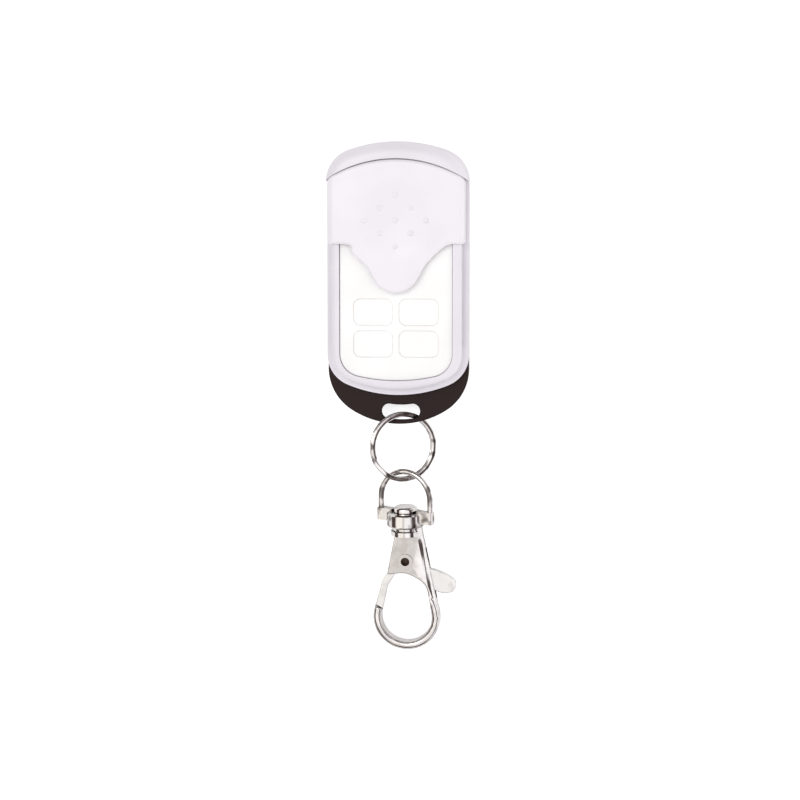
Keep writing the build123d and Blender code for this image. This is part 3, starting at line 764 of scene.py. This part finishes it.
@dataclass
class SubAssembly:
    """Some pieces of the fob that are made and dressed together."""

    pieces: list[bpy.types.Object] = field(default_factory=list, init=False)

    def take(self, piece: bpy.types.Object, finish: Finish, *nodes: str) -> bpy.types.Object:
        """Dresses a piece and lets it stand for CAD nodes, on the body that holds them.

        Args:
            piece: The object.
            finish: Its finish.
            nodes: The CAD nodes, all on one body.

        Returns:
            The piece.
        """
        paint(piece, finish)
        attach(piece, frame["nodes"][nodes[0]]["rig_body"])
        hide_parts(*nodes)
        slot_of(nodes[0])
        self.pieces.append(piece)
        return piece

    def refine(self, node: str, finish: Finish, sharp: float = SHARP_EDGE) -> bpy.types.Object:
        """Stands a merged and smoothly shaded copy of a CAD node in its place.

        Args:
            node: The CAD node's name.
            finish: The copy's finish.
            sharp: The angle above which an edge stays sharp, in radians.

        Returns:
            The copy.
        """
        joined = bmesh.new()
        joined.from_mesh(frame["nodes"][node].data)
        bmesh.ops.remove_doubles(joined, verts=joined.verts, dist=MERGE_REACH)
        flat = bpy.data.meshes.new(f"{node}_surface")
        points = [tuple(vert.co) for vert in joined.verts]
        faces = [[vert.index for vert in face.verts] for face in joined.faces]
        joined.free()
        flat.from_pydata(points, [], faces)
        piece = add_object(f"{node}_skin", flat)
        shade(piece, sharp)
        return self.take(piece, finish, node)

    def dress(self, node: str, finish: Finish) -> None:
        """Gives a CAD node that stays a better material.

        Args:
            node: The CAD node's name.
            finish: The finish.
        """
        kept = frame["nodes"][node]
        paint(kept, finish)
        self.pieces.append(kept)


@dataclass
class Housing(SubAssembly):
    """The two shells, the thumb cover, the window panel with its keys, and the screws in the back."""

    screw_head_height: float = 1.1 * MM
    screw_head_radius: float = 1.6 * MM
    screw_shank_radius: float = 0.7 * MM
    screw_recess_length: float = 1.9 * MM
    screw_recess_width: float = 0.42 * MM
    screw_recess_depth: float = 0.6 * MM
    screw_thread_pitch: float = 0.6 * MM
    screw_thread_radius: float = 0.11 * MM
    screw_thread_steps: int = 16
    screw_thread_sides: int = 4
    screw_edge: float = 0.09 * MM
    key_half: tuple[float, float] = (4.2 * MM, 2.8 * MM)
    key_corner: float = 1.5 * MM
    key_web_reach: float = 0.085 * MM
    key_web_sunk: float = 0.16 * MM
    key_web_height: float = 0.3 * MM

    def build(self) -> None:
        """Makes and dresses every piece of the housing."""
        self.refine("rear_housing", Finish.DARK_SHELL)
        self.refine("front_housing", Finish.WHITE_SHELL)
        self.refine("slide_cover", Finish.WHITE_COVER)
        self.refine("button_panel", Finish.WHITE_PANEL)
        for row in ("upper", "lower"):
            for side in ("left", "right"):
                self.refine(f"key_{row}_{side}", Finish.WHITE_KEY)
                self.make_key_web(f"{row}_{side}")
                self.refine(f"plunger_{row}_{side}", Finish.BLACK_SWITCH)
        self.refine("led_lens", Finish.RED_LENS)
        self.make_screws()

    def make_key_web(self, place: str) -> None:
        """Fits the thin white web that closes the gap round a key, just under its rounded rim.

        Args:
            place: The key's place, such as upper_left.
        """
        low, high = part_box(f"key_{place}")
        middle = [(low[axis] + high[axis]) / 2 for axis in (0, 1)]
        top = high[2] - self.key_web_sunk
        loops = [(self.key_web_reach, top), (self.key_web_reach, top - self.key_web_height),
                 (0.0, top - self.key_web_height), (0.0, top)]
        points, faces = [], []
        for reach, level in loops:
            outline = rounded_outline(*(half + reach for half in self.key_half), self.key_corner + reach)
            points += [(middle[0] + across, middle[1] + along, level) for across, along in outline]
        count = len(points) // len(loops)
        for loop in range(len(loops)):
            start, after = loop * count, (loop + 1) % len(loops) * count
            for index in range(count):
                turn = (index + 1) % count
                faces.append((start + index, after + index, after + turn, start + turn))
        mesh = bpy.data.meshes.new(f"key_web_{place}")
        mesh.from_pydata(points, [], faces)
        web = add_object(f"key_web_{place}", mesh)
        web.data.shade_flat()
        paint(web, Finish.WHITE_KEY)
        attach(web, frame["nodes"][f"key_{place}"]["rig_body"])
        slot_of(f"key_{place}")
        self.pieces.append(web)

    def make_screws(self) -> None:
        """Drives the three screws into the back: two beside the hood and one near the tail."""
        low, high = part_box("housing_screws")
        length = high[2] - low[2]
        tree = GeometryTree("shell_screws", {
            "Head radius": self.screw_head_radius,
            "Head height": self.screw_head_height,
            "Shank radius": self.screw_shank_radius,
            "Length": length,
            "Recess length": self.screw_recess_length,
            "Recess width": self.screw_recess_width,
            "Recess depth": self.screw_recess_depth,
            "Thread pitch": self.screw_thread_pitch,
            "Thread radius": self.screw_thread_radius,
        })
        head_height, whole = tree.given("Head height"), tree.given("Length")
        shank = tree.given("Shank radius")
        head = self.cylinder(tree, tree.given("Head radius"), head_height, head_height / 2)
        arm, wide, deep = (tree.given(f"Recess {size}") for size in ("length", "width", "depth"))
        cross = [tree.node("GeometryNodeMeshCube", None, {"Size": tree.vector(*sides, 2 * deep)})
                 for sides in ((arm, wide), (wide, arm))]
        cut = tree.node("GeometryNodeMeshBoolean", {"operation": "DIFFERENCE"}, {
            "Mesh 1": head, "Mesh 2": cross})
        stem_length = whole - head_height
        stem = self.cylinder(tree, shank, stem_length, head_height + stem_length / 2)
        pitch = tree.given("Thread pitch")
        turns = (stem_length - 2 * pitch) / pitch
        spiral = tree.node("GeometryNodeCurveSpiral", None, {
            "Resolution": self.screw_thread_steps, "Rotations": turns, "Start Radius": shank,
            "End Radius": shank, "Height": stem_length - 2 * pitch})
        ridge = tree.node("GeometryNodeCurvePrimitiveCircle", None, {
            "Resolution": self.screw_thread_sides, "Radius": tree.given("Thread radius")})
        thread = tree.node("GeometryNodeCurveToMesh", None, {
            "Curve": spiral, "Profile Curve": ridge, "Fill Caps": True})
        raised = tree.moved(thread, tree.vector(0, 0, head_height + pitch))
        screw = tree.joined(cut, stem, raised)
        placed = tree.node("GeometryNodeInstanceOnPoints", None, {
            "Points": tree.given("Geometry"), "Instance": screw})
        rim = self.screw_head_radius
        places = [(low[0] + rim, high[1] - rim, low[2]), (high[0] - rim, high[1] - rim, low[2]),
                  ((low[0] + high[0]) / 2, low[1] + rim, low[2])]
        screws = tree.run(placed, Finish.SCREW_ZINC, places, self.screw_edge)
        shade(screws)
        self.take(screws, Finish.SCREW_ZINC, "housing_screws")

    @staticmethod
    def cylinder(tree: GeometryTree, radius: Value, height: Value, middle: Value) -> Value:
        """Stands a cylinder in a tree.

        Args:
            tree: The tree.
            radius: Its radius.
            height: Its height.
            middle: The height of its middle.

        Returns:
            The cylinder.
        """
        made = tree.node("GeometryNodeMeshCylinder", None, {
            "Vertices": ROUND_SIDES, "Radius": radius, "Depth": height})
        return tree.moved(made, tree.vector(0, 0, middle))


@dataclass
class Innards(SubAssembly):
    """The board and all that is on it, the cell and its contacts: closed in, but finished."""

    finishes: dict[str, Finish] = field(default_factory=lambda: {
        "circuit_board": Finish.GREEN_BOARD,
        "tact_switches": Finish.BLACK_SWITCH,
        "encoder_chip": Finish.BLACK_CHIP,
        "resonator_can": Finish.TIN_STRIP,
        "antenna_trace": Finish.COPPER_FOIL,
        "status_led": Finish.RED_LENS,
        "coin_cell": Finish.CELL_CASE,
        "battery_contact_negative": Finish.TIN_STRIP,
        "battery_contact_positive": Finish.TIN_STRIP,
    })

    def build(self) -> None:
        """Dresses every piece inside the housing."""
        for node, finish in self.finishes.items():
            self.dress(node, finish)


@dataclass(frozen=True)
class WoundWire:
    """A wire wound on a circle, with a rise between its turns and straight leads at its ends."""

    radius: float
    turns: float
    rise: float
    rise_from: float
    rise_to: float
    width: float
    height: float
    corner: float
    lead_in: float = 0.0
    lead_out: float = 0.0
    points: int = 320
    corner_steps: int = 5

    def wind(self, name: str, finish: Finish) -> bpy.types.Object:
        """Winds the wire about the origin, flat in X and Y, and makes it a mesh.

        Args:
            name: The piece's name.
            finish: Its finish.

        Returns:
            The wire.
        """
        tree = GeometryTree(name, {
            "Radius": self.radius, "Turns": self.turns, "Rise": self.rise, "Rise from": self.rise_from,
            "Rise to": self.rise_to, "Wire width": self.width, "Wire height": self.height,
            "Wire corner": self.corner, "Lead in": self.lead_in, "Lead out": self.lead_out,
            "Points": self.points})
        radius, rise, lead_in = tree.given("Radius"), tree.given("Rise"), tree.given("Lead in")
        coil = math.tau * radius * tree.given("Turns")
        share = tree.node("GeometryNodeSplineParameter", output="Factor")
        way = share * (coil + lead_in + tree.given("Lead out")) - lead_in
        wound = way.within(0.0, coil)
        angle, straight = wound / radius, way - wound
        risen = (wound / coil).smooth(tree.given("Rise from"), tree.given("Rise to"))
        place = tree.vector(radius * angle.cosine() - straight * angle.sine(),
                            radius * angle.sine() + straight * angle.cosine(), rise * (risen - 0.5))
        line = tree.node("GeometryNodeCurvePrimitiveLine")
        fine = tree.node("GeometryNodeResampleCurve", None, {"Curve": line, "Count": tree.given("Points")})
        path = tree.node("GeometryNodeSetPosition", None, {"Geometry": fine, "Position": place})
        level = tree.node("GeometryNodeSetCurveNormal", {"mode": "Z_UP"}, {"Curve": path})
        section = tree.node("GeometryNodeCurvePrimitiveQuadrilateral", None, {
            "Width": tree.given("Wire width"), "Height": tree.given("Wire height")})
        rounded = tree.node("GeometryNodeFilletCurve", {"mode": "POLY"}, {
            "Curve": section, "Count": self.corner_steps, "Radius": tree.given("Wire corner")})
        wire = tree.node("GeometryNodeCurveToMesh", None, {
            "Curve": level, "Profile Curve": rounded, "Fill Caps": True})
        return tree.run(wire, finish)


@dataclass
class Keychain(SubAssembly):
    """The split ring, the swivel bail, and the trigger hook with its gate, pin and spring."""

    loop_drop: float = 12.75 * MM
    hook_wave: float = 0.045 * MM
    ridge_angle: float = math.radians(50)
    ring_wire_width: float = 1.1 * MM
    ring_wire_height: float = 0.68 * MM
    ring_wire_corner: float = 0.32 * MM
    ring_coil_gap: float = 0.06 * MM
    ring_step: float = 34 / 360
    ring_turn: float = math.radians(235)
    ring_points: int = 420
    spring_wire: float = 0.2 * MM
    spring_radius: float = 1.75 * MM
    spring_rise: float = 0.44 * MM
    spring_turns: float = 2.0
    spring_leads: Span = (1.3 * MM, 2.6 * MM)
    spring_corner: float = 0.45
    spring_points: int = 140
    spring_sharp: float = math.radians(60)

    def build(self) -> None:
        """Makes and dresses every piece of the chain."""
        self.make_ring()
        self.refine("swivel_bail", Finish.NICKEL_WIRE)
        self.make_hook()
        self.refine("gate_lever", Finish.NICKEL_SATIN)
        self.refine("gate_pin", Finish.NICKEL_PIN)
        self.make_spring()

    def make_hook(self) -> None:
        """Dresses the hook, whose loop is round across its width and whose ridges are worn soft."""
        hinge = joint("gate_pivot")
        axis, pivot = Vector(hinge["axis"]), Vector(hinge["pos_m"])
        down = Vector((1, 0, 0)).cross(axis)
        finish = LoopedNickel("nickel_hook", wave_depth=self.hook_wave,
                              loop_centre=tuple(pivot + self.loop_drop * down),
                              loop_tilt=math.atan2(-axis.y, axis.z))
        self.refine("hook_body", finish, self.ridge_angle)

    def make_ring(self) -> None:
        """Winds the split ring: two flat turns with a step, tilted as its hinges say."""
        low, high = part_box("split_ring")
        hinge = joint("bail_swing")
        axis, bottom = Vector(hinge["axis"]), Vector(hinge["pos_m"])
        radius = (high[1] - low[1] - self.ring_wire_width) / 2
        turns = 2 - self.ring_step
        step_end = 1 / turns
        wire = WoundWire(
            radius=radius, turns=turns, rise=self.ring_wire_height + self.ring_coil_gap,
            rise_from=step_end - self.ring_step / turns, rise_to=step_end, width=self.ring_wire_width,
            height=self.ring_wire_height, corner=self.ring_wire_corner,
            points=self.ring_points)
        ring = wire.wind("ring_wound", Finish.NICKEL_WIRE)
        tilt = math.atan2(-axis.z, axis.x)
        place = (Matrix.Translation(bottom + Vector((0, radius, 0))) @ Matrix.Rotation(tilt, 4, "Y")
                 @ Matrix.Rotation(self.ring_turn, 4, "Z"))
        ring.data.transform(place)
        shade(ring, self.ridge_angle)
        self.take(ring, Finish.NICKEL_WIRE, "split_ring")

    def make_spring(self) -> None:
        """Winds the gate's spring in its pocket, round the pin's axis."""
        low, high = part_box("gate_spring")
        hinge = joint("gate_pivot")
        axis, pivot = Vector(hinge["axis"]), Vector(hinge["pos_m"])
        lead_in, lead_out = self.spring_leads
        wire = WoundWire(
            radius=self.spring_radius, turns=self.spring_turns, rise=self.spring_rise,
            rise_from=0.0, rise_to=1.0, width=self.spring_wire, height=self.spring_wire,
            corner=self.spring_corner * self.spring_wire, lead_in=lead_in, lead_out=lead_out,
            points=self.spring_points)
        spring = wire.wind("spring_wound", Finish.SPRING_WIRE)
        middle = (Vector(low) + Vector(high)) / 2
        height = (middle - pivot).dot(axis)
        tilt = math.atan2(-axis.y, axis.z)
        spring.data.transform(Matrix.Translation(pivot + height * axis) @ Matrix.Rotation(tilt, 4, "X"))
        shade(spring, self.spring_sharp)
        self.take(spring, Finish.SPRING_WIRE, "gate_spring")


@dataclass
class Studio:
    """A white floor, a soft key light, a tent of pale sky, and the camera over the front."""

    frame_pixels: int = 800
    pixel: float = 0.2158 * MM
    picture_middle: Span = (0.37 * MM, -25.08 * MM)
    front_level: float = 6 * MM
    camera_distance: float = 450 * MM
    camera_lean: Span = (7.5, 4.5)
    sensor: float = 36.0
    clip_start: float = 0.01
    floor_size: float = 3.0
    floor_drop: float = 0.05 * MM
    floor_speck: float = 60 * MM
    floor_tones: tuple[Colour, Colour] = ((0.9, 0.9, 0.9), (0.92, 0.92, 0.92))
    floor_lift: float = 0.56
    floor_shine: float = 0.05
    sky_level: float = 0.90
    hood_shade: float = 0.40
    hood_span: Span = (0.05, 0.95)
    right_lift: float = 0.55
    right_span: Span = (0.3, 0.9)
    tent_level: float = 1.2
    warm_tent: Colour = (1.0, 0.975, 0.93)
    cool_tent: Colour = (0.98, 0.975, 1.0)
    tent_turn: Span = (-0.35, 0.35)
    tent_flag: Colour = (0.060, 0.040, 0.034)
    flag_foot: Span = (0.0, 0.03)
    flag_top: Span = (0.62, 0.80)
    flag_rise: float = 0.30
    flag_rise_span: Span = (0.25, 0.6)
    low_opening: Span = (0.60, 0.72)
    left_opening: Span = (0.50, 0.62)
    opening_foot: Span = (0.48, 0.58)
    seam_place: float = -0.13
    seam_span: Span = (0.06, 0.15)
    seam_end: Span = (-0.22, -0.10)
    seam_share: float = 0.36
    key_power: float = 0.98
    key_place: tuple[float, float, float] = (-0.26, 0.20, 0.72)
    key_size: float = 0.4

    def build(self) -> None:
        """Makes the camera, the floor, the sky and the light."""
        self.make_camera()
        self.make_floor()
        self.make_sky()
        self.make_key_light()

    def make_camera(self) -> None:
        """Stands the camera over the front, leaning a little to the right and to the hood."""
        lens = bpy.data.cameras.new("camera")
        lens.sensor_width = self.sensor
        lens.lens = self.sensor * self.camera_distance / (self.frame_pixels * self.pixel)
        lens.clip_start = self.clip_start
        right, up = (math.tan(math.radians(angle)) for angle in self.camera_lean)
        back = Vector((right, up, 1)).normalized()
        across = Vector((0, 1, 0)).cross(back).normalized()
        turned = Matrix((across, back.cross(across), back)).transposed().to_4x4()
        middle = Vector((*self.picture_middle, self.front_level))
        camera = bpy.data.objects.new("camera", lens)
        camera.matrix_world = Matrix.Translation(middle + self.camera_distance * back) @ turned
        bpy.context.scene.collection.objects.link(camera)
        bpy.context.scene.camera = camera

    @staticmethod
    def seen_rays(tree: Tree) -> tuple[Value, Value]:
        """The rays that should find a white background.

        Args:
            tree: The tree that asks.

        Returns:
            Camera rays, and the rays that polished and clear surfaces send.
        """
        camera = tree.node("ShaderNodeLightPath", output="Is Camera Ray")
        outputs = camera.socket.node.outputs
        mirrored = Value(tree, outputs["Is Glossy Ray"]) + Value(tree, outputs["Is Transmission Ray"])
        return camera, mirrored

    def make_floor(self) -> None:
        """Lays the pale floor, which shows white to the camera and keeps the fob's shadow."""
        half = self.floor_size / 2
        mesh = bpy.data.meshes.new("floor")
        corners = [(-half, -half, 0), (half, -half, 0), (half, half, 0), (-half, half, 0)]
        mesh.from_pydata(corners, [], [(0, 1, 2, 3)])
        mesh.transform(Matrix.Translation((0, 0, -self.floor_drop)))
        floor = add_object("floor", mesh)
        shader = Shader("floor_white")
        camera, mirrored = self.seen_rays(shader)
        speck = shader.noise(self.floor_speck, 2.0)
        lift = shader.node("ShaderNodeEmission", None, {
            "Color": (1, 1, 1, 1), "Strength": self.floor_lift * camera + self.floor_shine * mirrored})
        paper = shader.node("ShaderNodeBsdfDiffuse", None, {
            "Color": shader.mix_colours(speck, *self.floor_tones)})
        both = shader.node("ShaderNodeAddShader", None, {0: paper, 1: lift})
        shader.node("ShaderNodeOutputMaterial", None, {"Surface": both})
        floor.data.materials.append(shader.material)

    def make_sky(self) -> None:
        """Makes the sky: white to the camera, darker beyond the hood, and a flagged tent for the metal."""
        world = bpy.data.worlds.new("sky")
        world.use_nodes = True
        bpy.context.scene.world = world
        tree = Tree(world.node_tree)
        camera, mirrored = self.seen_rays(tree)
        direction = tree.node("ShaderNodeTexCoord", output="Generated")
        split = tree.node("ShaderNodeSeparateXYZ", None, {0: direction})
        across, along, up = (Value(tree, split.socket.node.outputs[axis]) for axis in "XYZ")
        shaded = self.sky_level * (1 - self.hood_shade * along.smooth(*self.hood_span)
                                   + self.right_lift * across.smooth(*self.right_span))
        foot = up - self.flag_rise * across.smooth(*self.flag_rise_span)
        opened = (0 - along).smooth(*self.low_opening) + (0 - across).smooth(*self.left_opening)
        opening = opened.within(0.0, 1.0) * up.smooth(*self.opening_foot)
        flag = foot.smooth(*self.flag_foot) * (1 - up.smooth(*self.flag_top)) * (1 - opening)
        line = 1 - (across - self.seam_place).size().smooth(*self.seam_span)
        seam = line * (1 - along.smooth(*self.seam_end))
        gloom = (flag + self.seam_share * seam).within(0.0, 1.0)
        tent = tree.mix_colours(across.smooth(*self.tent_turn), self.warm_tent, self.cool_tent)
        panels = tree.mix_colours(gloom, tent, self.tent_flag)
        plain = tree.mix_colours(mirrored, (1, 1, 1), panels)
        level = camera + (1 - camera) * (mirrored * self.tent_level + (1 - mirrored) * shaded)
        ground = tree.node("ShaderNodeBackground", None, {"Color": plain, "Strength": level})
        tree.node("ShaderNodeOutputWorld", None, {"Surface": ground})

    def make_key_light(self) -> None:
        """Hangs the soft light to the upper left of the fob."""
        light = bpy.data.lights.new("key_light", "AREA")
        light.shape = "DISK"
        light.size = self.key_size
        light.energy = self.key_power
        lamp = bpy.data.objects.new("key_light", light)
        place = Vector(self.key_place)
        lamp.location = place
        lamp.rotation_euler = (Vector((*self.picture_middle, 0)) - place).to_track_quat("-Z", "Y").to_euler()
        bpy.context.scene.collection.objects.link(lamp)


def main() -> None:
    """Builds the studio and the fob, and reports each piece."""
    logging.basicConfig(level=logging.INFO, format="%(name)s: %(message)s")
    Studio().build()
    for assembly in (Housing(), Innards(), Keychain()):
        assembly.build()
        for piece in assembly.pieces:
            LOG.info("%s: %s, %d faces", type(assembly).__name__, piece.name, len(piece.data.polygons))
    bpy.context.scene.view_settings.view_transform = "Standard"


if __name__ == "__main__":
    main()
